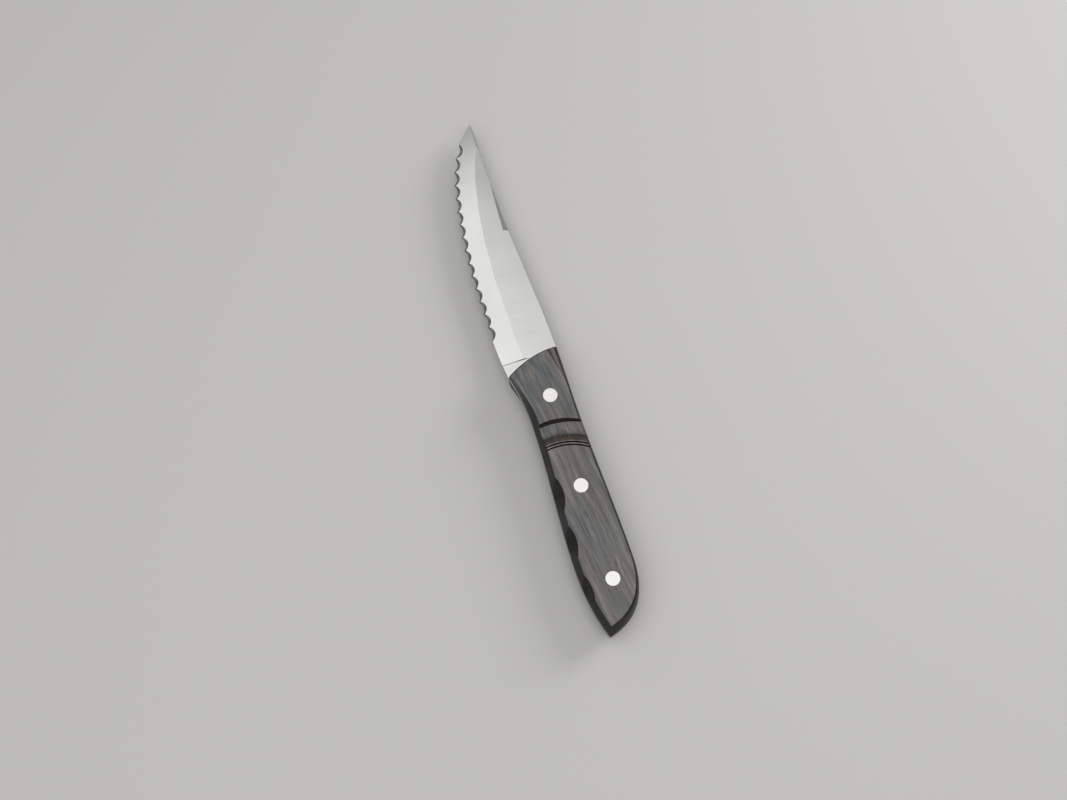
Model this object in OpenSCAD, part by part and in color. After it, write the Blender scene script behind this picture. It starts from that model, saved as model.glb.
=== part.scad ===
// Steak knife: a full-tang serrated blade, two carved hardwood scales and three two-piece rivets.
// The knife lies on its right side. +X runs from the point to the butt, +Y towards the back of the
// blade and +Z up from the table. Outlines are measured from the middle rivet, in millimetres.

/* [Length] */
// Middle rivet to the point of the blade
blade_reach = 184; // [178:1:190]
// Middle rivet to the heel, where the cutting edge ends
heel_reach = 59; // [57:0.5:61]
// Middle rivet to the back of the blade where it enters the handle
neck_reach = 66; // [64:0.5:68]
// Middle rivet to the point of the butt
butt_reach = 66; // [63:0.5:69]

/* [Blade] */
// Thickness of the blade and the tang
steel_thickness = 2.5; // [2:0.1:3]
// Thickness left at the cutting edge
edge_thickness = 0.4; // [0.3:0.05:0.6]
// Width of the ground face behind the cutting edge
grind_width = 10; // [8:0.5:12]
// Lowest reach of the cutting edge below the rivet line
edge_drop = 16.1; // [15.5:0.1:17]
// Middle rivet to the lowest point of the cutting edge
low_reach = 100; // [90:1:110]
// Height of the point above the rivet line
point_rise = 6.4; // [5:0.1:8]
// Length of the straight back behind the point
straight_back = 36; // [25:1:45]
// Full-thickness length between the ground face and the heel
ricasso_length = 6.3; // [4:0.1:9]
// Length over which the ground face and the false edge run out
plunge_run = 0.6; // [0.4:0.1:1.2]
// Height of the blunt tip of the point
tip_height = 0.3; // [0.2:0.05:0.6]

/* [False edge] */
// Middle rivet to the end of the false edge
false_edge_reach = 127.5; // [122:0.5:132]
// Length of the false edge
false_edge_length = 24; // [16:1:30]
// Width of the false edge at its end
false_edge_width = 2.2; // [1.2:0.1:3]
// Depth of the false edge into each side at its end
false_edge_depth = 0.5; // [0.2:0.05:0.8]
// Width of the fine break along both edges of the back
back_break = 0.12; // [0.05:0.01:0.2]

/* [Serration] */
// Distance from tooth to tooth
tooth_pitch = 6.49; // [5:0.01:8]
// Depth of the bite between two teeth
bite_depth = 1.3; // [0.8:0.1:2]
// Flat left on the tip of each tooth
tooth_land = 0.3; // [0.2:0.05:0.6]
// Lean of the grinding wheel off the upright
bite_lean = 60; // [50:1:64]
// Plain edge between the heel and the last tooth
heel_plain = 19.2; // [15:0.1:24]
// Plain edge kept behind the point
point_plain = 8; // [6:0.1:12]
// Width of the bevel on the plain edge behind the point
point_bevel = 1; // [0.6:0.1:1.4]
// Slope of that bevel
point_bevel_angle = 22; // [15:1:30]

/* [Handle outline] */
// Drop of the heel below the rivet line
heel_drop = 14.7; // [14:0.1:15.2]
// Drop of the belly at the waist
waist_drop = 11.2; // [10:0.1:12.5]
// Middle rivet forward to the waist
waist_reach = 33; // [28:1:38]
// Drop of the belly at the palm swell
palm_drop = 13.8; // [12.5:0.1:15]
// Middle rivet back to the palm swell
palm_reach = 33; // [28:1:38]
// Drop of the butt point below the rivet line
butt_drop = 8.6; // [7:0.1:10]
// Rise of the back where the blade enters the handle
neck_rise = 10.4; // [9.5:0.1:11.5]
// Rise of the back at its hollow
hollow_rise = 10; // [9.5:0.1:10.5]
// Middle rivet forward to the hollow of the back
hollow_reach = 36; // [30:1:42]
// Rise of the back at the rear hump
hump_rise = 11.9; // [11:0.1:13]
// Middle rivet back to the rear hump
hump_reach = 37; // [33:1:41]
// Run of the rounded corner between the hump and the slanted butt
butt_round = 20; // [15:0.5:23]
// Rise of the straight stretch of the slanted butt
butt_pull = 10.4; // [7:0.1:13]

/* [Scales] */
// Thickness of each scale
scale_thickness = 7.25; // [6:0.05:9]
// Width of the sloped side along the belly
belly_bevel = 2.5; // [1.5:0.1:3.2]
// Width of the sloped side round the butt
butt_bevel = 3.5; // [2.5:0.1:4.5]
// Width of the rounding along the back
back_round = 1.4; // [0.8:0.1:2]
// Extra width of that rounding at the front, for the thumb
thumb_relief = 6.2; // [4:0.1:7.5]
// Length over which the thumb relief fades out
thumb_length = 24; // [18:1:30]
// Radius of the bowed front end
front_radius = 45.9; // [40:0.1:60]
// Rise of the centre of that radius above the rivet line
front_rise = 10; // [6:0.5:14]
// Setback of the front end behind the heel
front_setback = 0.6; // [0.3:0.1:1.5]
// Setback of the top of the front end behind its foot
front_slope = 1.7; // [1:0.1:2.4]

/* [Finger scoops] */
// Number of finger scoops in the belly of each scale
scoop_count = 3; // [1:1:3]
// Radius of the scooping cutter
scoop_radius = 20; // [15:0.5:26]
// Middle rivet to the first scoop
scoop_start = 0.8; // [-2:0.1:3]
// Distance from scoop to scoop
scoop_pitch = 21.8; // [19:0.1:23]
// Reach of the first scoop in from the belly, at the outer face
scoop_reach = 4.4; // [3.4:0.1:5.2]
// Height above the tang at which the scoops run out
scoop_foot = 1; // [0.5:0.1:2]

/* [Cove] */
// Middle rivet to the front lip of the cove across each scale
cove_reach = 31.6; // [29:0.1:34]
// Radius of the front lip, seen from above
cove_radius = 36.6; // [33:0.1:45]
// Drop of the centre of that radius below the rivet line
cove_drop = 5; // [2:0.1:8]
// Depth of the cove
cove_depth = 1.2; // [0.6:0.1:1.8]
// Run of the steep front wall
cove_wall = 1; // [0.6:0.1:1.6]
// Length of the hollow floor
cove_floor = 6.3; // [5:0.1:7.5]
// Run of the slope back up to the face
cove_rise = 2.4; // [1.5:0.1:3]
// Distance from the cove to the first of the two fine grooves behind it
line_gap = 0.8; // [0.6:0.05:1]
// Width of each fine groove
line_width = 0.5; // [0.3:0.05:0.7]
// Depth of each fine groove
line_depth = 0.35; // [0.2:0.05:0.5]
// Distance between the two fine grooves
line_pitch = 1.3; // [1:0.1:1.8]

/* [Rivets] */
// Distance from rivet to rivet
rivet_pitch = 43.2; // [41:0.1:45]
// Diameter of the flush heads
head_d = 6.5; // [5.5:0.1:8]
// Thickness of the heads
head_thickness = 1.6; // [1.2:0.1:2.2]
// Outside diameter of the barrel
barrel_d = 4.2; // [3.8:0.1:5]
// Diameter of the stud's shank
shank_d = 2.6; // [2:0.1:3]
// Chamfer at the end of the shank
shank_lead = 0.4; // [0.2:0.05:0.6]
// Free length left between the mouth of the barrel and the stud's head
barrel_gap = 0.5; // [0.3:0.1:1]
// Radial clearance of the barrels in the scales and the tang
bore_clearance = 0.05; // [0.02:0.01:0.1]
// Radial clearance of the heads in their seats
head_clearance = 0.03; // [0.02:0.01:0.06]
// Radial clearance of the shank in the barrel
shank_clearance = 0.02; // [0.01:0.01:0.04]

/* [Hidden] */
$fn = 64;

// Overrun of every cut past the surface that it opens
cut_overrun = 2;

// Steps along the curves
point_steps = 36;
blade_steps = 30;
tang_steps = 40;
belly_steps = 56;
butt_steps = 18;
back_steps = 40;
front_steps = 12;

// Slopes of the belly at the heel and at the butt, and of the cutting edge at the heel
heel_belly_slope = 0.3;
butt_belly_slope = 0.35;
heel_edge_slope = 0.12;
// Lean of the slanted butt at its point
butt_lean = 0.27;

// Share of the sweep up to the point that the sharper of its two curves takes
point_sweep_share = 0.4;
// Powers of the gentler and the sharper curve
gentle_power = 2;
sharp_power = 8;
// Greatest share of the blade's width that the ground face takes near the point
grind_share = 0.92;
// Crowding of the stations towards the point
crowd_power = 1.4;
// Handles of the face's butt curve as shares of those of the tang
face_round_share = 0.88;
face_pull_share = 0.73;
// Reach of each scoop as a share of the first one's
scoop_shares = [1, 0.95, 0.82];
// Levels of a scale: share of its height, then of the inset on the back, the belly and the front end
level_shares = [[0, 0, 0, 0], [0.14, 0, 0, 0.1], [0.45, 0.05, 0.36, 0.32], [0.66, 0.16, 0.605, 0.47],
                [0.8, 0.33, 0.767, 0.57], [0.89, 0.52, 0.872, 0.66], [0.95, 0.72, 0.942, 0.78], [1, 1, 1, 1]];
// Angle over which the cove is swept across the handle
cove_span = 110;
// Share of the cove's rear slope by which the cutter runs on above the face
lift_share = 0.15;
// Depth of the cove's floor as shares of its length and of its depth
floor_shares = [[0, 1], [0.35, 1], [0.7, 0.88], [1, 0.66]];

half_steel = steel_thickness / 2;
half_edge = edge_thickness / 2;
half_handle = half_steel + scale_thickness;
plunge_reach = heel_reach + ricasso_length;
handle_thickness = 2 * half_handle;

// Place of the middle rivet, with the knife's footprint centred on the origin
middle_x = (blade_reach - butt_reach) / 2;
middle_y = (edge_drop - hump_rise) / 2;

function lerp(a, b, t) = a + (b - a) * t;
function clamp(t) = min(1, max(0, t));
function ease(t) = clamp(t) * clamp(t) * (3 - 2 * clamp(t));

// Height at x of the smooth curve from p to q that leaves p at one slope and meets q at another
function smooth_y(p, q, slope_p, slope_q, x) =
    let (run = q[0] - p[0], t = (x - p[0]) / run)
    lerp(p[1], q[1], ease(t))
    + run * slope_p * t * (1 - t) * (1 - t)
    - run * slope_q * t * t * (1 - t);

// Point at t on the curve from p to q with the pulls a and b between them
function pulled(p, a, b, q, t) =
    p * pow(1 - t, 3) + 3 * a * t * pow(1 - t, 2) + 3 * b * t * t * (1 - t) + q * pow(t, 3);

// Cutting edge, as the line through the tips of the teeth
function point_sweep_y(s) =
    lerp(-edge_drop, point_rise - tip_height,
         (1 - point_sweep_share) * pow(s, gentle_power) + point_sweep_share * pow(s, sharp_power));
function edge_y(x) =
    x < -low_reach
        ? point_sweep_y((-low_reach - x) / (blade_reach - low_reach))
        : smooth_y([-low_reach, -edge_drop], [-heel_reach, -heel_drop], 0, heel_edge_slope, x);

// Belly of the handle at the tang
function belly_y(x) =
    x < -waist_reach
        ? smooth_y([-heel_reach, -heel_drop], [-waist_reach, -waist_drop], heel_belly_slope, 0, x)
    : x < palm_reach
        ? smooth_y([-waist_reach, -waist_drop], [palm_reach, -palm_drop], 0, 0, x)
        : smooth_y([palm_reach, -palm_drop], [butt_reach, -butt_drop], 0, butt_belly_slope, x);

// Back of the blade and the handle, as far as the rear hump
function back_y(x) =
    let (bend = straight_back - blade_reach)
    x < bend ? point_rise
    : x < -neck_reach ? smooth_y([bend, point_rise], [-neck_reach, neck_rise], 0, 0, x)
    : x < -hollow_reach
        ? smooth_y([-neck_reach, neck_rise], [-hollow_reach, hollow_rise], 0, 0, x)
        : smooth_y([-hollow_reach, hollow_rise], [hump_reach, hump_rise], 0, 0, x);

// Round corner and slanted butt, from the hump down to the butt's point
function butt_point(t) =
    pulled([hump_reach, hump_rise], [hump_reach + butt_round, hump_rise],
           [butt_reach - butt_lean * butt_pull, butt_pull - butt_drop], [butt_reach, -butt_drop], t);

// Blade and tang

// Width of the bevel on both edges of the back: a fine break, and the false edge behind the point
function back_bevel(x) =
    let (t = (x + false_edge_reach) / false_edge_length)
    back_break + (t > 0 ? 0 : false_edge_width * clamp(1 + t));
function section(x, low, shoulder, high, half_low, half_high) =
    let (bevel = min(back_bevel(x), (high - shoulder) / 2),
         edge = high - bevel,
         half_top = half_high - bevel * false_edge_depth / false_edge_width)
    [[x, low, -half_low], [x, shoulder, -half_high], [x, edge, -half_high], [x, high, -half_top],
     [x, high, half_top], [x, edge, half_high], [x, shoulder, half_high], [x, low, half_low]];
function ground_section(x) =
    let (low = edge_y(x),
         high = back_y(x),
         reach = min(grind_width, grind_share * (high - low)),
         half_back = lerp(half_edge, half_steel, reach / grind_width))
    section(x, low, low + reach, high, half_edge, half_back);
function full_section(x, low, high) =
    section(x, low, lerp(low, high, 1 / 2), high, half_steel, half_steel);

point_sections =
    [for (i = [0 : point_steps])
        ground_section(lerp(-blade_reach, -false_edge_reach, pow(i / point_steps, crowd_power)))];
blade_sections =
    [for (i = [0 : blade_steps])
        ground_section(lerp(plunge_run - false_edge_reach, -plunge_reach, i / blade_steps))];
ricasso_sections =
    [for (x = [plunge_run - plunge_reach, -heel_reach])
        full_section(x, edge_y(x), back_y(x))];
tang_sections =
    [for (i = [1 : tang_steps])
        let (x = lerp(-heel_reach, hump_reach, i / tang_steps))
        full_section(x, belly_y(x), back_y(x))];
butt_sections =
    [for (i = [1 : butt_steps])
        let (p = butt_point(i / butt_steps))
        full_section(p[0], min(belly_y(p[0]), p[1] - tip_height), p[1])];

// Solid through a row of closed rings that all have the same even number of points
module loft(rings) {
    count = len(rings[0]);
    last = len(rings) - 1;
    sides = [for (i = [0 : last - 1], j = [0 : count - 1])
        let (a = i * count + j, b = i * count + (j + 1) % count)
        each [[a, a + count, b], [b, a + count, b + count]]];
    first_cap = [for (j = [0 : count / 2 - 2]) [j, j + 1, count - 2 - j, count - 1 - j]];
    last_cap = [for (rung = first_cap) [for (k = [3 : -1 : 0]) last * count + rung[k]]];
    polyhedron(points = [for (ring = rings) each ring], faces = concat(sides, first_cap, last_cap));
}

// Each bite leans back over the blade, so the wheel leaves a hollow on the left face only
bite_count = floor((blade_reach - heel_reach - heel_plain - point_plain) / tooth_pitch);
bite_chord = tooth_pitch - tooth_land;
bite_radius = (bite_chord * bite_chord / 4 + pow(bite_depth * cos(bite_lean), 2))
              / (2 * bite_depth * cos(bite_lean));
function tooth_point(i) =
    let (x = -heel_reach - heel_plain - i * tooth_pitch)
    [x, edge_y(x)];

module bites() {
    for (i = [0 : bite_count - 1]) {
        rear = tooth_point(i);
        front = tooth_point(i + 1);
        middle = (rear + front) / 2;
        heading = rear - front;
        translate([middle[0], middle[1], -half_edge])
            rotate([0, 0, atan2(heading[1], heading[0])])
                translate([0, bite_depth - bite_radius / cos(bite_lean), 0])
                    rotate([-bite_lean, 0, 0])
                        cylinder(h = 4 * bite_radius, r = bite_radius, center = true);
    }
}

// Bevel on the plain edge between the point and the first tooth
module point_bevel_cut() {
    tip = [-blade_reach, edge_y(-blade_reach)];
    tooth = tooth_point(bite_count);
    heading = tooth - tip;
    grind_rise = (half_steel - half_edge) / grind_width;
    sink = point_bevel * (tan(point_bevel_angle) - grind_rise) - half_edge;
    translate([tip[0], tip[1], -sink])
        rotate([0, 0, atan2(heading[1], heading[0])])
            rotate([point_bevel_angle, 0, 0])
                translate([-cut_overrun, -cut_overrun, 0])
                    cube([norm(heading) + cut_overrun, 2 * cut_overrun, cut_overrun]);
}

module rivet_places() {
    for (x = [-rivet_pitch, 0, rivet_pitch])
        translate([x, 0, 0])
            children();
}

module barrel_hole() {
    cylinder(h = handle_thickness + cut_overrun, d = barrel_d + 2 * bore_clearance, center = true);
}

module placed() {
    translate([middle_x, middle_y, half_handle])
        children();
}

module blade() {
    color("silver")
        placed()
            difference() {
                loft(concat(point_sections, blade_sections, ricasso_sections, tang_sections, butt_sections));
                bites();
                point_bevel_cut();
                rivet_places()
                    barrel_hole();
            }
}

// Scales

face_point_x = butt_reach - butt_bevel;

function belly_inset(x) =
    belly_bevel * ease((x + heel_reach) / (heel_reach - waist_reach));
function back_inset(x) =
    back_round + thumb_relief * pow(1 - clamp((x + neck_reach) / thumb_length), 2);
function face_belly_y(x) = belly_y(x) + belly_inset(x);
function face_butt_point(t) =
    let (rise = hump_rise - back_round, end = [face_point_x, face_belly_y(face_point_x)])
    pulled([hump_reach, rise], [hump_reach + face_round_share * butt_round, rise],
           end + face_pull_share * butt_pull * [-butt_lean, 1], end, t);

// Bowed front end, which leans back from the tang to the face
front_drop = heel_drop + front_rise;
front_center_x = front_setback - heel_reach + sqrt(front_radius * front_radius - front_drop * front_drop);
function front_x(y, lean) =
    let (radius = front_radius - front_slope * lean, rise = y - front_rise)
    front_center_x - sqrt(radius * radius - rise * rise);

// One level of a scale: belly, butt, back and front end, each set in by its own share
function level_belly_y(x, inset) = belly_y(x) + inset * belly_inset(x);
function level_back_y(x, inset) = back_y(x) - inset * back_inset(x);
function level_belly_point(front, inset, t) =
    let (x = lerp(front, lerp(butt_reach, face_point_x, inset), t))
    [x, level_belly_y(x, inset)];
function level(shares) =
    let (back = shares[1], belly = shares[2], lean = shares[3],
         heel_x = front_x(level_belly_y(front_x(-heel_drop, lean), belly), lean),
         neck_x = front_x(level_back_y(front_x(neck_rise, lean), back), lean),
         heel_y = level_belly_y(heel_x, belly),
         neck_y = level_back_y(neck_x, back),
         front = [for (i = [0 : front_steps])
             let (y = lerp(neck_y, heel_y, i / front_steps))
             [front_x(y, lean), y]],
         outline = concat(
             [for (i = [front_steps / 2 : front_steps - 1]) front[i]],
             [for (i = [0 : belly_steps - 1]) level_belly_point(heel_x, belly, i / belly_steps)],
             [for (i = [0 : butt_steps])
                 let (t = 1 - i / butt_steps)
                 lerp(butt_point(t), face_butt_point(t), lerp(back, belly, ease(t)))],
             [for (i = [1 : back_steps])
                 let (x = lerp(hump_reach, neck_x, i / back_steps))
                 [x, level_back_y(x, back)]],
             [for (i = [1 : front_steps / 2 - 1]) front[i]]))
    [for (p = outline) [p[0], p[1], shares[0] * scale_thickness]];

// Cove with its two fine grooves, turned about a point well behind it
cove_foot = cove_radius - cove_wall;
cove_end = cove_foot - cove_floor;
cove_end_depth = floor_shares[len(floor_shares) - 1][1] * cove_depth;
cove_profile = concat(
    [[cove_radius + cove_wall, cove_depth]],
    [for (s = floor_shares) [cove_foot - s[0] * cove_floor, -s[1] * cove_depth]],
    [[cove_end - (1 + lift_share) * cove_rise, lift_share * cove_end_depth]]);
module cove_sweep() {
    translate([cove_radius - cove_reach, -cove_drop, scale_thickness])
        rotate([0, 0, 180 - cove_span / 2])
            rotate_extrude(angle = cove_span)
                children();
}
module cove_cut() {
    cove_sweep()
        polygon(cove_profile);
    for (i = [0, 1])
        cove_sweep()
            translate([cove_end - cove_rise - line_gap - i * line_pitch, 0])
                polygon([[-line_width, line_depth], [0, -line_depth], [line_width, line_depth]]);
}

// Finger scoops, cut by a leaning round cutter from the belly side
module scoops() {
    for (i = [0 : scoop_count - 1]) {
        x = scoop_start + i * scoop_pitch;
        reach = scoop_reach * scoop_shares[i];
        lean = atan2(reach, scale_thickness - scoop_foot);
        slope = (belly_y(x + scoop_radius / 4) - belly_y(x - scoop_radius / 4)) / (scoop_radius / 2);
        translate([x, belly_y(x), scoop_foot])
            rotate([0, 0, atan(slope)])
                translate([0, -scoop_radius / cos(lean), 0])
                    rotate([-lean, 0, 0])
                        cylinder(h = 4 * scoop_radius, r = scoop_radius, center = true);
    }
}

module rivet_seat() {
    translate([0, 0, -cut_overrun])
        cylinder(h = scale_thickness + 2 * cut_overrun, d = barrel_d + 2 * bore_clearance);
    translate([0, 0, scale_thickness - head_thickness])
        cylinder(h = head_thickness + cut_overrun, d = head_d + 2 * head_clearance);
}

// One scale standing on the plane of the tang's side
module scale_body() {
    difference() {
        loft([for (shares = level_shares) level(shares)]);
        cove_cut();
        scoops();
        rivet_places()
            rivet_seat();
    }
}

module left_scale() {
    color([0.16, 0.12, 0.1])
        placed()
            translate([0, 0, half_steel])
                scale_body();
}

module right_scale() {
    color([0.16, 0.12, 0.1])
        placed()
            mirror([0, 0, 1])
                translate([0, 0, half_steel])
                    scale_body();
}

// Rivets: the stud's shank is pressed into the barrel, and both heads lie flush with the scales

barrel_length = handle_thickness - 2 * head_thickness - barrel_gap;
shank_length = barrel_length;

module rivet_stud(x) {
    color("gainsboro")
        placed()
            translate([x, 0, half_handle])
                mirror([0, 0, 1]) {
                    cylinder(h = head_thickness, d = head_d);
                    cylinder(h = head_thickness + shank_length - shank_lead, d = shank_d);
                    translate([0, 0, head_thickness + shank_length - shank_lead])
                        cylinder(h = shank_lead, d1 = shank_d, d2 = shank_d - shank_lead);
                }
}

module rivet_barrel(x) {
    color("gainsboro")
        placed()
            translate([x, 0, -half_handle])
                difference() {
                    union() {
                        cylinder(h = head_thickness, d = head_d);
                        cylinder(h = head_thickness + barrel_length, d = barrel_d);
                    }
                    translate([0, 0, head_thickness])
                        cylinder(h = barrel_length + cut_overrun, d = shank_d + 2 * shank_clearance);
                }
}

module front_rivet_stud() { rivet_stud(-rivet_pitch); }
module front_rivet_barrel() { rivet_barrel(-rivet_pitch); }
module middle_rivet_stud() { rivet_stud(0); }
module middle_rivet_barrel() { rivet_barrel(0); }
module rear_rivet_stud() { rivet_stud(rivet_pitch); }
module rear_rivet_barrel() { rivet_barrel(rivet_pitch); }

blade();
left_scale();
right_scale();
front_rivet_stud();
front_rivet_barrel();
middle_rivet_stud();
middle_rivet_barrel();
rear_rivet_stud();
rear_rivet_barrel();
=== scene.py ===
import math

import bmesh
import bpy
from mathutils import Matrix, Vector


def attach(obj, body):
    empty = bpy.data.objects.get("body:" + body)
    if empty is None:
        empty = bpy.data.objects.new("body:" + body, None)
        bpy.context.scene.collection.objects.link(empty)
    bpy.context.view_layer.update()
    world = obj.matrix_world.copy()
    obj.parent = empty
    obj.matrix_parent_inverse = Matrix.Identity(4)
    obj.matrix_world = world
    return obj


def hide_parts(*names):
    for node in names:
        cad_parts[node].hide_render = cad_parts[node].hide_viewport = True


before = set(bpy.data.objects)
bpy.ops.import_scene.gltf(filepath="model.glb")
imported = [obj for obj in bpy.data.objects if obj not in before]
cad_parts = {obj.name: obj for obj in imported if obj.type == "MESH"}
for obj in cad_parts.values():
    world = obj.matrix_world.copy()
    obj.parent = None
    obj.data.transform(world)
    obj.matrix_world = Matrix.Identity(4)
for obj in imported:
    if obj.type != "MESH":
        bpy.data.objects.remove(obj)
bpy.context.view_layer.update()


# Blade
# One strip of stainless steel, ground to a thin edge on both sides, scalloped by a leaning wheel on
# the left side only, and left full and flat behind the heel as the tang that both scales sit on.
def linear(hex_colour):
    """Linear red, green, blue and alpha of an sRGB hex colour."""
    parts = [int(hex_colour[i:i + 2], 16) / 255 for i in (1, 3, 5)]
    return [p / 12.92 if p <= 0.04045 else ((p + 0.055) / 1.055) ** 2.4 for p in parts] + [1.0]


def put(tree, kind, inputs=(), **settings):
    """Adds a node, with its settings and with each input linked to a socket or set to a value."""
    made = tree.nodes.new(kind)
    for name, value in settings.items():
        setattr(made, name, value)
    for name, value in dict(inputs).items():
        if isinstance(value, bpy.types.NodeSocket):
            tree.links.new(value, made.inputs[name])
        else:
            made.inputs[name].default_value = value
    return made


def blend_stops(ramp, stops):
    """Fills a colour ramp with (place, hex colour) stops."""
    band = ramp.color_ramp
    while len(band.elements) < len(stops):
        band.elements.new(0.5)
    for element, (place, colour) in zip(band.elements, stops):
        element.position = place
        element.color = linear(colour)


def bench_copy(node_name, piece_name):
    """Copies a CAD solid to a new piece, with its loose triangles merged into clean faces."""
    bpy.ops.object.select_all(action="DESELECT")
    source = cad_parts[node_name]
    source.select_set(True)
    bpy.context.view_layer.objects.active = source
    bpy.ops.object.duplicate()
    piece = bpy.context.active_object
    piece.name = piece_name
    piece.data.name = piece_name
    bpy.ops.mesh.customdata_custom_splitnormals_clear()
    bpy.ops.object.mode_set(mode="EDIT")
    bpy.ops.mesh.select_all(action="SELECT")
    bpy.ops.mesh.remove_doubles(threshold=1e-6)
    bpy.ops.mesh.dissolve_limited(angle_limit=math.radians(0.3))
    bpy.ops.object.mode_set(mode="OBJECT")
    return piece


def round_edges(piece, wanted, width, segments):
    """Bevels the edges that the wanted test picks by their middle, direction and bend in degrees."""
    bpy.ops.object.mode_set(mode="EDIT")
    bpy.ops.mesh.select_mode(type="EDGE")
    bpy.ops.mesh.select_all(action="DESELECT")
    mesh = bmesh.from_edit_mesh(piece.data)
    for edge in mesh.edges:
        if len(edge.link_faces) == 2:
            ends = [v.co for v in edge.verts]
            edge.select_set(wanted((ends[0] + ends[1]) / 2, (ends[1] - ends[0]).normalized(),
                                   math.degrees(edge.calc_face_angle(0))))
    bmesh.update_edit_mesh(piece.data)
    bpy.ops.mesh.bevel(offset=width, segments=segments, affect="EDGES", clamp_overlap=True)
    bpy.ops.object.mode_set(mode="OBJECT")


def keep_flat(piece):
    """Lets the large faces of a piece set its smooth shading, so that flat faces stay flat."""
    flat = piece.modifiers.new("flat_faces", "WEIGHTED_NORMAL")
    flat.weight = 100
    flat.keep_sharp = True
    bpy.ops.object.modifier_apply(modifier=flat.name)


# Satin-ground stainless steel: bright and near neutral, with a fine grain drawn across the blade by
# the belt. The real lines are near 0.1 mm apart, so they are drawn 0.3 mm apart to show at all.
line_gap, line_length, cloud_size = 0.0003, 0.018, 0.03
satin_steel = bpy.data.materials.new("satin_ground_stainless")
satin_steel.use_nodes = True
tree = satin_steel.node_tree
steel = tree.nodes["Principled BSDF"]
steel.inputs["Metallic"].default_value = 1.0
place = put(tree, "ShaderNodeTexCoord").outputs["Object"]
grain_map = put(tree, "ShaderNodeMapping", {"Vector": place,
                                            "Scale": (1 / line_gap, 1 / line_length, 1 / line_length)})
grain = put(tree, "ShaderNodeTexNoise", {"Vector": grain_map.outputs["Vector"], "Scale": 1.0,
                                         "Detail": 3.0, "Roughness": 0.6})
cloud = put(tree, "ShaderNodeTexNoise", {"Vector": place, "Scale": 1 / cloud_size, "Detail": 2.0})
tint = put(tree, "ShaderNodeValToRGB", {"Fac": cloud.outputs["Fac"]})
blend_stops(tint, [(0.3, "#c4c4c2"), (0.7, "#cdcdca")])
# The hollows of the scallops, which slope by 25 to 50 degrees, get painted shade: a darker grey that
# stands in for the dark surroundings that they mirror. The stops are cosines of the slope.
facing = put(tree, "ShaderNodeSeparateXYZ", {"Vector": put(tree, "ShaderNodeTexCoord").outputs["Normal"]})
hollow_painted_shade = put(tree, "ShaderNodeValToRGB", {"Fac": facing.outputs["Z"]})
blend_stops(hollow_painted_shade, [(0.5, "#ffffff"), (0.64, "#c2c2c0"), (0.895, "#c2c2c0"), (0.92, "#ffffff")])
# The painted shade of the hollows is multiplied into the steel's tint.
ground = put(tree, "ShaderNodeMix", {"Factor": 1.0, "A": tint.outputs["Color"],
                                     "B": hollow_painted_shade.outputs["Color"]},
             data_type="RGBA", blend_type="MULTIPLY")
gloss = put(tree, "ShaderNodeMapRange", {"Value": grain.outputs["Fac"], "From Min": 0.3, "From Max": 0.7,
                                         "To Min": 0.2, "To Max": 0.25})
bump = put(tree, "ShaderNodeBump", {"Height": grain.outputs["Fac"], "Strength": 0.012, "Distance": 0.00005})
tree.links.new(ground.outputs["Result"], steel.inputs["Base Color"])
tree.links.new(gloss.outputs["Result"], steel.inputs["Roughness"])
tree.links.new(bump.outputs["Normal"], steel.inputs["Normal"])

# The belt leaves the shoulders of the ground faces a little round.
heel_x = -0.007
least_bend, most_bend = 3, 14
shoulder_round = 0.0009


def on_shoulder(middle, way, angle):
    """True for a shoulder of the ground faces: a slight bend, along the blade and before the heel."""
    lengthwise = abs(way.x) > 0.8
    return least_bend < angle < most_bend and lengthwise and middle.x < heel_x


ground_blade = bench_copy("blade", "ground_blade")
round_edges(ground_blade, on_shoulder, shoulder_round, segments=4)
bpy.ops.object.shade_smooth_by_angle(angle=math.radians(most_bend))
keep_flat(ground_blade)
ground_blade.data.materials.clear()
ground_blade.data.materials.append(satin_steel)
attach(ground_blade, "root")
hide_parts("blade")


# Scales
# Two sides of dark, open-pored hardwood, sawn in layers near parallel to the face. Each is shaped
# over the tang, scooped for three fingers, coved across behind the front rivet and oiled.
left_face, knife_middle, right_face = 0.017, 0.0085, 0.0


def carve(piece, cutter):
    """Cuts a piece with a cutter, which is then thrown away."""
    bpy.ops.object.select_all(action="DESELECT")
    piece.select_set(True)
    bpy.context.view_layer.objects.active = piece
    cut = piece.modifiers.new("cut", "BOOLEAN")
    cut.operation = "DIFFERENCE"
    cut.solver = "EXACT"
    cut.object = cutter
    bpy.ops.object.modifier_apply(modifier=cut.name)
    bpy.data.objects.remove(cutter)


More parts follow.
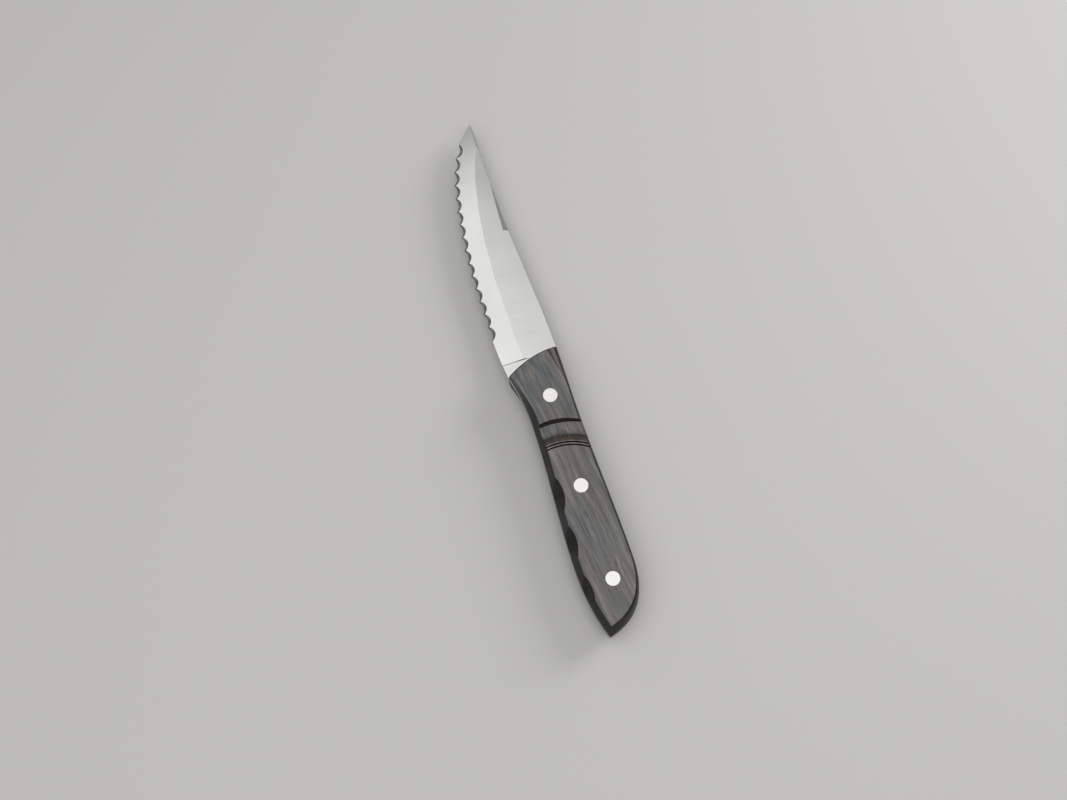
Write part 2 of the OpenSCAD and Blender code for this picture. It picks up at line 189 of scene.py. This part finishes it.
def cove_tool(profile, face_z, up, swell=0.0):
    """A swept cutter from a profile of (reach from the sweep's centre, height over the face) in mm.

    Its lip is set forward by the swell in the middle, where the floor behind it lies half as much deeper.
    """
    centre = Vector((0.064, -0.0029, 0))
    start, sweep, steps = math.radians(235), math.radians(110), 110
    bpy.ops.object.select_all(action="DESELECT")
    bpy.ops.mesh.primitive_circle_add(vertices=len(profile), fill_type="NGON", location=(0, 0, 0))
    cutter = bpy.context.active_object
    for vertex, (reach, height) in zip(cutter.data.vertices, profile):
        vertex.co = centre + Vector((reach * math.cos(start), reach * math.sin(start), 0)) / 1000
        vertex.co.z = face_z + up * height / 1000
    bpy.ops.object.mode_set(mode="EDIT")
    bpy.ops.mesh.select_all(action="SELECT")
    bpy.ops.mesh.spin(steps=steps, angle=sweep, center=centre, axis=(0, 0, 1))
    bpy.ops.mesh.select_all(action="SELECT")
    bpy.ops.mesh.remove_doubles(threshold=1e-7)
    bpy.ops.mesh.normals_make_consistent(inside=False)
    bpy.ops.object.mode_set(mode="OBJECT")
    lip_foot, cove_end = 0.03562, 0.0269
    off_foot, off_face = 0.0001, 0.0002
    swell_middle, swell_reach = 5, 15
    for vertex in cutter.data.vertices:
        arm = vertex.co - centre
        arm.z = 0
        off_middle = math.degrees(math.atan2(arm.y, -arm.x)) - swell_middle
        fullness = swell * max(0, 1 - (off_middle / swell_reach) ** 2)
        on_lip = arm.length > lip_foot + off_foot
        on_floor = up * (face_z - vertex.co.z) > off_face
        if on_lip:
            vertex.co += arm.normalized() * fullness
        elif on_floor:
            vertex.co.z -= up * fullness / 2 * (arm.length - cove_end) / (lip_foot - cove_end)
    return cutter


def scoop_tool(x, y, reach, turn, up):
    """A round cutter, 40 mm across, that leans in over the belly for one finger scoop.

    The scoop starts at x and y beside the tang, goes in by the reach at the face and is turned in degrees.
    """
    scoop_foot, scoop_height = 0.00225, 0.00625
    scoop_radius, cutter_radius, cutter_length = 0.02, 0.02001, 0.08
    lean = math.atan2(reach, scoop_height)
    bpy.ops.object.select_all(action="DESELECT")
    bpy.ops.mesh.primitive_cylinder_add(vertices=220, radius=cutter_radius, depth=cutter_length,
                                        location=(0, 0, 0))
    cutter = bpy.context.active_object
    cutter.data.transform(Matrix.Translation((x, y, knife_middle + up * scoop_foot))
                          @ Matrix.Rotation(math.radians(turn), 4, "Z")
                          @ Matrix.Translation((0, -scoop_radius / math.cos(lean), 0))
                          @ Matrix.Rotation(-lean * up, 4, "X"))
    return cutter


def carve_scale(piece, face_z, up):
    """Goes over the cove, its two grooves and the three scoops of a scale with fine round cutters."""
    cove = [(37.4, 0.6), (36.85, 0.04), (36.52, -0.12), (35.62, -1.25), (34.5, -1.29), (33.4, -1.285),
            (32.3, -1.23), (31.2, -1.135), (30.2, -1.01), (29.3, -0.855), (28.5, -0.63), (27.7, -0.36),
            (26.9, -0.06), (26.6, 0.06), (26.6, 0.6)]
    lip_swell = 0.0006
    carve(piece, cove_tool(cove, face_z, up, lip_swell))
    groove_reaches, groove_side, groove_top, groove_foot = (26.06, 24.76), 0.6, 0.3, -0.42
    for reach in groove_reaches:
        groove = [(reach - groove_side, groove_top), (reach, groove_foot), (reach + groove_side, groove_top)]
        carve(piece, cove_tool(groove, face_z, up))
    finger_scoops = ((0.0598, -0.01045, 0.0044, -3.4),
                     (0.0816, -0.01153, 0.00418, -1.8),
                     (0.1034, -0.01117, 0.00361, 5.6))
    for x, y, reach, turn in finger_scoops:
        carve(piece, scoop_tool(x, y, reach, turn, up))
    bpy.ops.object.shade_smooth_by_angle(angle=math.radians(26))
    keep_flat(piece)


# Oiled dark hardwood, like wenge: thin layers of grey and grey-brown, redder towards the back, with
# fine darker streaks and open pores along the handle. An even satin sheen lies over the face. Real
# pores are near 0.2 mm wide, so they are drawn 0.5 mm wide to show.
grain_turn, layer_tilt = math.radians(-7), math.radians(24)
wander_size, sway_reach = 0.045, 0.004
layer_length, layer_width, layer_height = 0.09, 0.0018, 0.00055
zone_length, zone_width, redder_per_metre = 0.06, 0.009, 7.0
streak_length, streak_width = 0.025, 0.0007
pore_length, pore_width = 0.005, 0.0005
dark_wood = bpy.data.materials.new("oiled_dark_hardwood")
dark_wood.use_nodes = True
tree = dark_wood.node_tree
wood = tree.nodes["Principled BSDF"]
wood.inputs["Specular IOR Level"].default_value = 0.28
place = put(tree, "ShaderNodeTexCoord").outputs["Object"]
wander = put(tree, "ShaderNodeTexNoise", {"Vector": place, "Scale": 1 / wander_size, "Detail": 1.0})
sway = put(tree, "ShaderNodeVectorMath", {0: wander.outputs["Color"], 1: (0.0, sway_reach, sway_reach)},
           operation="MULTIPLY")
swayed = put(tree, "ShaderNodeVectorMath", {0: place, 1: sway.outputs["Vector"]}, operation="ADD")
along = put(tree, "ShaderNodeVectorRotate", {"Vector": swayed.outputs["Vector"], "Angle": grain_turn},
            rotation_type="Z_AXIS")
layer_map = put(tree, "ShaderNodeMapping", {"Vector": along.outputs["Vector"],
                                            "Rotation": (layer_tilt, 0, 0),
                                            "Scale": (1 / layer_length, 1 / layer_width, 1 / layer_height)})
layers = put(tree, "ShaderNodeTexNoise", {"Vector": layer_map.outputs["Vector"], "Scale": 1.0,
                                          "Detail": 4.0, "Roughness": 0.6})
layer_tint = put(tree, "ShaderNodeValToRGB", {"Fac": layers.outputs["Fac"]})
blend_stops(layer_tint, [(0.3, "#636465"), (0.46, "#747575"), (0.58, "#818180"), (0.72, "#959290")])
zone_map = put(tree, "ShaderNodeMapping", {"Vector": along.outputs["Vector"],
                                           "Scale": (1 / zone_length, 1 / zone_width, 1 / zone_width)})
zones = put(tree, "ShaderNodeTexNoise", {"Vector": zone_map.outputs["Vector"], "Scale": 1.0, "Detail": 2.0})
across = put(tree, "ShaderNodeSeparateXYZ", {"Vector": place})
redder = put(tree, "ShaderNodeMath", {0: across.outputs["Y"], 1: redder_per_metre, 2: zones.outputs["Fac"]},
             operation="MULTIPLY_ADD")
zone_tint = put(tree, "ShaderNodeValToRGB", {"Fac": redder.outputs["Value"]})
blend_stops(zone_tint, [(0.36, "#d8dfe2"), (0.5, "#ecebe9"), (0.64, "#faece6")])
warmed = put(tree, "ShaderNodeMix", {"Factor": 1.0, "A": layer_tint.outputs["Color"],
                                     "B": zone_tint.outputs["Color"]},
             data_type="RGBA", blend_type="MULTIPLY")
streak_map = put(tree, "ShaderNodeMapping",
                 {"Vector": along.outputs["Vector"],
                  "Scale": (1 / streak_length, 1 / streak_width, 1 / streak_width)})
streaks = put(tree, "ShaderNodeTexNoise", {"Vector": streak_map.outputs["Vector"], "Scale": 1.0,
                                           "Detail": 3.0, "Roughness": 0.65})
streak_tint = put(tree, "ShaderNodeValToRGB", {"Fac": streaks.outputs["Fac"]})
blend_stops(streak_tint, [(0.3, "#cacaca"), (0.5, "#e8e8e8"), (0.7, "#f9f9f9")])
streaked = put(tree, "ShaderNodeMix", {"Factor": 1.0, "A": warmed.outputs["Result"],
                                       "B": streak_tint.outputs["Color"]},
               data_type="RGBA", blend_type="MULTIPLY")
pore_map = put(tree, "ShaderNodeMapping", {"Vector": along.outputs["Vector"],
                                           "Scale": (1 / pore_length, 1 / pore_width, 1 / pore_width)})
pores = put(tree, "ShaderNodeTexNoise", {"Vector": pore_map.outputs["Vector"], "Scale": 1.0, "Detail": 2.0})
pore_depth = put(tree, "ShaderNodeMapRange", {"Value": pores.outputs["Fac"],
                                              "From Min": 0.62, "From Max": 0.74})
shade = put(tree, "ShaderNodeMix", {"Factor": pore_depth.outputs["Result"], "A": streaked.outputs["Result"],
                                    "B": linear("#47433f")}, data_type="RGBA")
# Painted shade by slope, cut across the layers: a darker line where a slope starts, their redder end grain
# darkened by painted shade on gentle slopes, and near black painted shade where it is steep. The stops are
# cosines of the slope.
facing = put(tree, "ShaderNodeSeparateXYZ", {"Vector": put(tree, "ShaderNodeTexCoord").outputs["Normal"]})
upright = put(tree, "ShaderNodeMath", {0: facing.outputs["Z"]}, operation="ABSOLUTE")
slope_painted_shade = put(tree, "ShaderNodeValToRGB", {"Fac": upright.outputs["Value"]})
blend_stops(slope_painted_shade, [(0.58, "#302c2a"), (0.66, "#4f4642"), (0.74, "#574d4a"), (0.82, "#c9afa6"),
                         (0.915, "#d2b8ae"), (0.945, "#a0958c"), (0.979, "#857f7c"), (0.995, "#ffffff")])
# The painted shade of the slopes is multiplied into the wood's colour.
wood_with_painted_shade = put(tree, "ShaderNodeMix", {"Factor": 1.0, "A": shade.outputs["Result"],
                                     "B": slope_painted_shade.outputs["Color"]},
             data_type="RGBA", blend_type="MULTIPLY")
wood_gloss = put(tree, "ShaderNodeMapRange", {"Value": streaks.outputs["Fac"],
                                              "From Min": 0.3, "From Max": 0.7,
                                              "To Min": 0.42, "To Max": 0.3})
pore_bump = put(tree, "ShaderNodeBump", {"Height": pore_depth.outputs["Result"], "Strength": 0.25,
                                         "Distance": 0.0001}, invert=True)
tree.links.new(wood_with_painted_shade.outputs["Result"], wood.inputs["Base Color"])
tree.links.new(wood_gloss.outputs["Result"], wood.inputs["Roughness"])
tree.links.new(pore_bump.outputs["Normal"], wood.inputs["Normal"])

carved_left_scale = bench_copy("left_scale", "carved_left_scale")
carve_scale(carved_left_scale, left_face, 1)
carved_left_scale.data.materials.clear()
carved_left_scale.data.materials.append(dark_wood)
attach(carved_left_scale, "root")
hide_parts("left_scale")

carved_right_scale = bench_copy("right_scale", "carved_right_scale")
carve_scale(carved_right_scale, right_face, -1)
carved_right_scale.data.materials.clear()
carved_right_scale.data.materials.append(dark_wood)
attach(carved_right_scale, "root")
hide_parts("right_scale")


# Rivets
# Three cutlery rivets of bright metal, each a stud pressed into a barrel. Their heads are ground
# flush with the wood on both sides, so they show as plain round discs with a broken edge.

# Ground stainless steel, a shade warmer and brighter than the blade, with faint rub marks all one way.
# Real marks are finer than 0.1 mm, so they are drawn 0.4 mm wide to show.
rub_length, rub_width, rub_turn = 0.005, 0.0004, math.radians(35)
rivet_metal = bpy.data.materials.new("ground_rivet_metal")
rivet_metal.use_nodes = True
tree = rivet_metal.node_tree
metal = tree.nodes["Principled BSDF"]
metal.inputs["Metallic"].default_value = 1.0
place = put(tree, "ShaderNodeTexCoord").outputs["Object"]
rub_map = put(tree, "ShaderNodeMapping", {"Vector": place, "Rotation": (0, 0, rub_turn),
                                          "Scale": (1 / rub_length, 1 / rub_width, 1 / rub_length)})
rub = put(tree, "ShaderNodeTexNoise", {"Vector": rub_map.outputs["Vector"], "Scale": 1.0, "Detail": 3.0})
rub_gloss = put(tree, "ShaderNodeMapRange", {"Value": rub.outputs["Fac"], "From Min": 0.3, "From Max": 0.7,
                                             "To Min": 0.24, "To Max": 0.29})
rub_tint = put(tree, "ShaderNodeValToRGB", {"Fac": rub.outputs["Fac"]})
blend_stops(rub_tint, [(0.3, "#d7d5d2"), (0.7, "#e2e0dd")])
tree.links.new(rub_tint.outputs["Color"], metal.inputs["Base Color"])
tree.links.new(rub_gloss.outputs["Result"], metal.inputs["Roughness"])

rim_height, rim_round = 0.00845, 0.00012


def on_head_rim(middle, way, angle):
    """True for the sharp rim of a rivet head, which lies at a face of the handle."""
    return angle > 60 and abs(middle.z - knife_middle) > rim_height


for end in ("front", "middle", "rear"):
    for half in ("stud", "barrel"):
        rivet = bench_copy(f"{end}_rivet_{half}", f"ground_{end}_{half}")
        round_edges(rivet, on_head_rim, rim_round, segments=2)
        bpy.ops.object.shade_smooth_by_angle(angle=math.radians(35))
        keep_flat(rivet)
        rivet.data.materials.clear()
        rivet.data.materials.append(rivet_metal)
        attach(rivet, "root")
        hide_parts(f"{end}_rivet_{half}")


# Floor and light
# A plain pale table top under the knife, a wide soft lamp over it, a key lamp on the side of the back,
# a dim panel before the point and a dim white room.
bpy.ops.object.select_all(action="DESELECT")
bpy.ops.mesh.primitive_plane_add(size=8.0, location=(0, 0, 0))
floor = bpy.context.active_object
floor.name = "pale_floor"
floor_paint = bpy.data.materials.new("pale_matt_floor")
floor_paint.use_nodes = True
paint = floor_paint.node_tree.nodes["Principled BSDF"]
paint.inputs["Base Color"].default_value = linear("#c4c3c0")
paint.inputs["Roughness"].default_value = 0.8
floor.data.materials.append(floor_paint)

look_at = Vector((0.013252, -0.004861, knife_middle))
overhead_data = bpy.data.lights.new("overhead_soft_box", "AREA")
overhead_data.shape = "RECTANGLE"
overhead_data.size = 1.8
overhead_data.size_y = 1.35
overhead_data.energy = 8.2
overhead = bpy.data.objects.new("overhead_soft_box", overhead_data)
bpy.context.scene.collection.objects.link(overhead)
overhead.location = look_at + Vector((0.385, -0.256, 0.95))
overhead.rotation_euler.z = math.radians(22)

# Each has its name, its width in metres, its watts and its place as seen from the knife.
square_lamps = (("key_soft_box", 0.5, 4.9, (-0.22, 0.86, 0.43)),
                ("front_panel", 1.1, 1.35, (-1.17, -0.48, 0.92)))
for name, width, watts, offset in square_lamps:
    lamp_data = bpy.data.lights.new(name, "AREA")
    lamp_data.size = width
    lamp_data.energy = watts
    lamp = bpy.data.objects.new(name, lamp_data)
    bpy.context.scene.collection.objects.link(lamp)
    lamp.location = look_at + Vector(offset)
    lamp.rotation_euler = (-Vector(offset)).to_track_quat("-Z", "Y").to_euler()

room = bpy.data.worlds.new("dim_white_room")
room.use_nodes = True
walls = room.node_tree.nodes["Background"]
walls.inputs["Color"].default_value = linear("#f4f4f4")
walls.inputs["Strength"].default_value = 0.34
bpy.context.scene.world = room
bpy.context.scene.view_settings.view_transform = "Standard"


# Camera
# It looks down on the knife from behind the butt, 73 degrees above the table. Its place and lens are
# fitted to the outline of the knife.
camera_data = bpy.data.cameras.new("camera")
camera_data.sensor_width = 36.0
camera_data.lens = 57.36
camera = bpy.data.objects.new("camera", camera_data)
bpy.context.scene.collection.objects.link(camera)
camera.location = (0.224766, -0.073328, 0.735674)
camera.rotation_euler = (look_at - camera.location).to_track_quat("-Z", "Y").to_euler()
bpy.context.scene.camera = camera
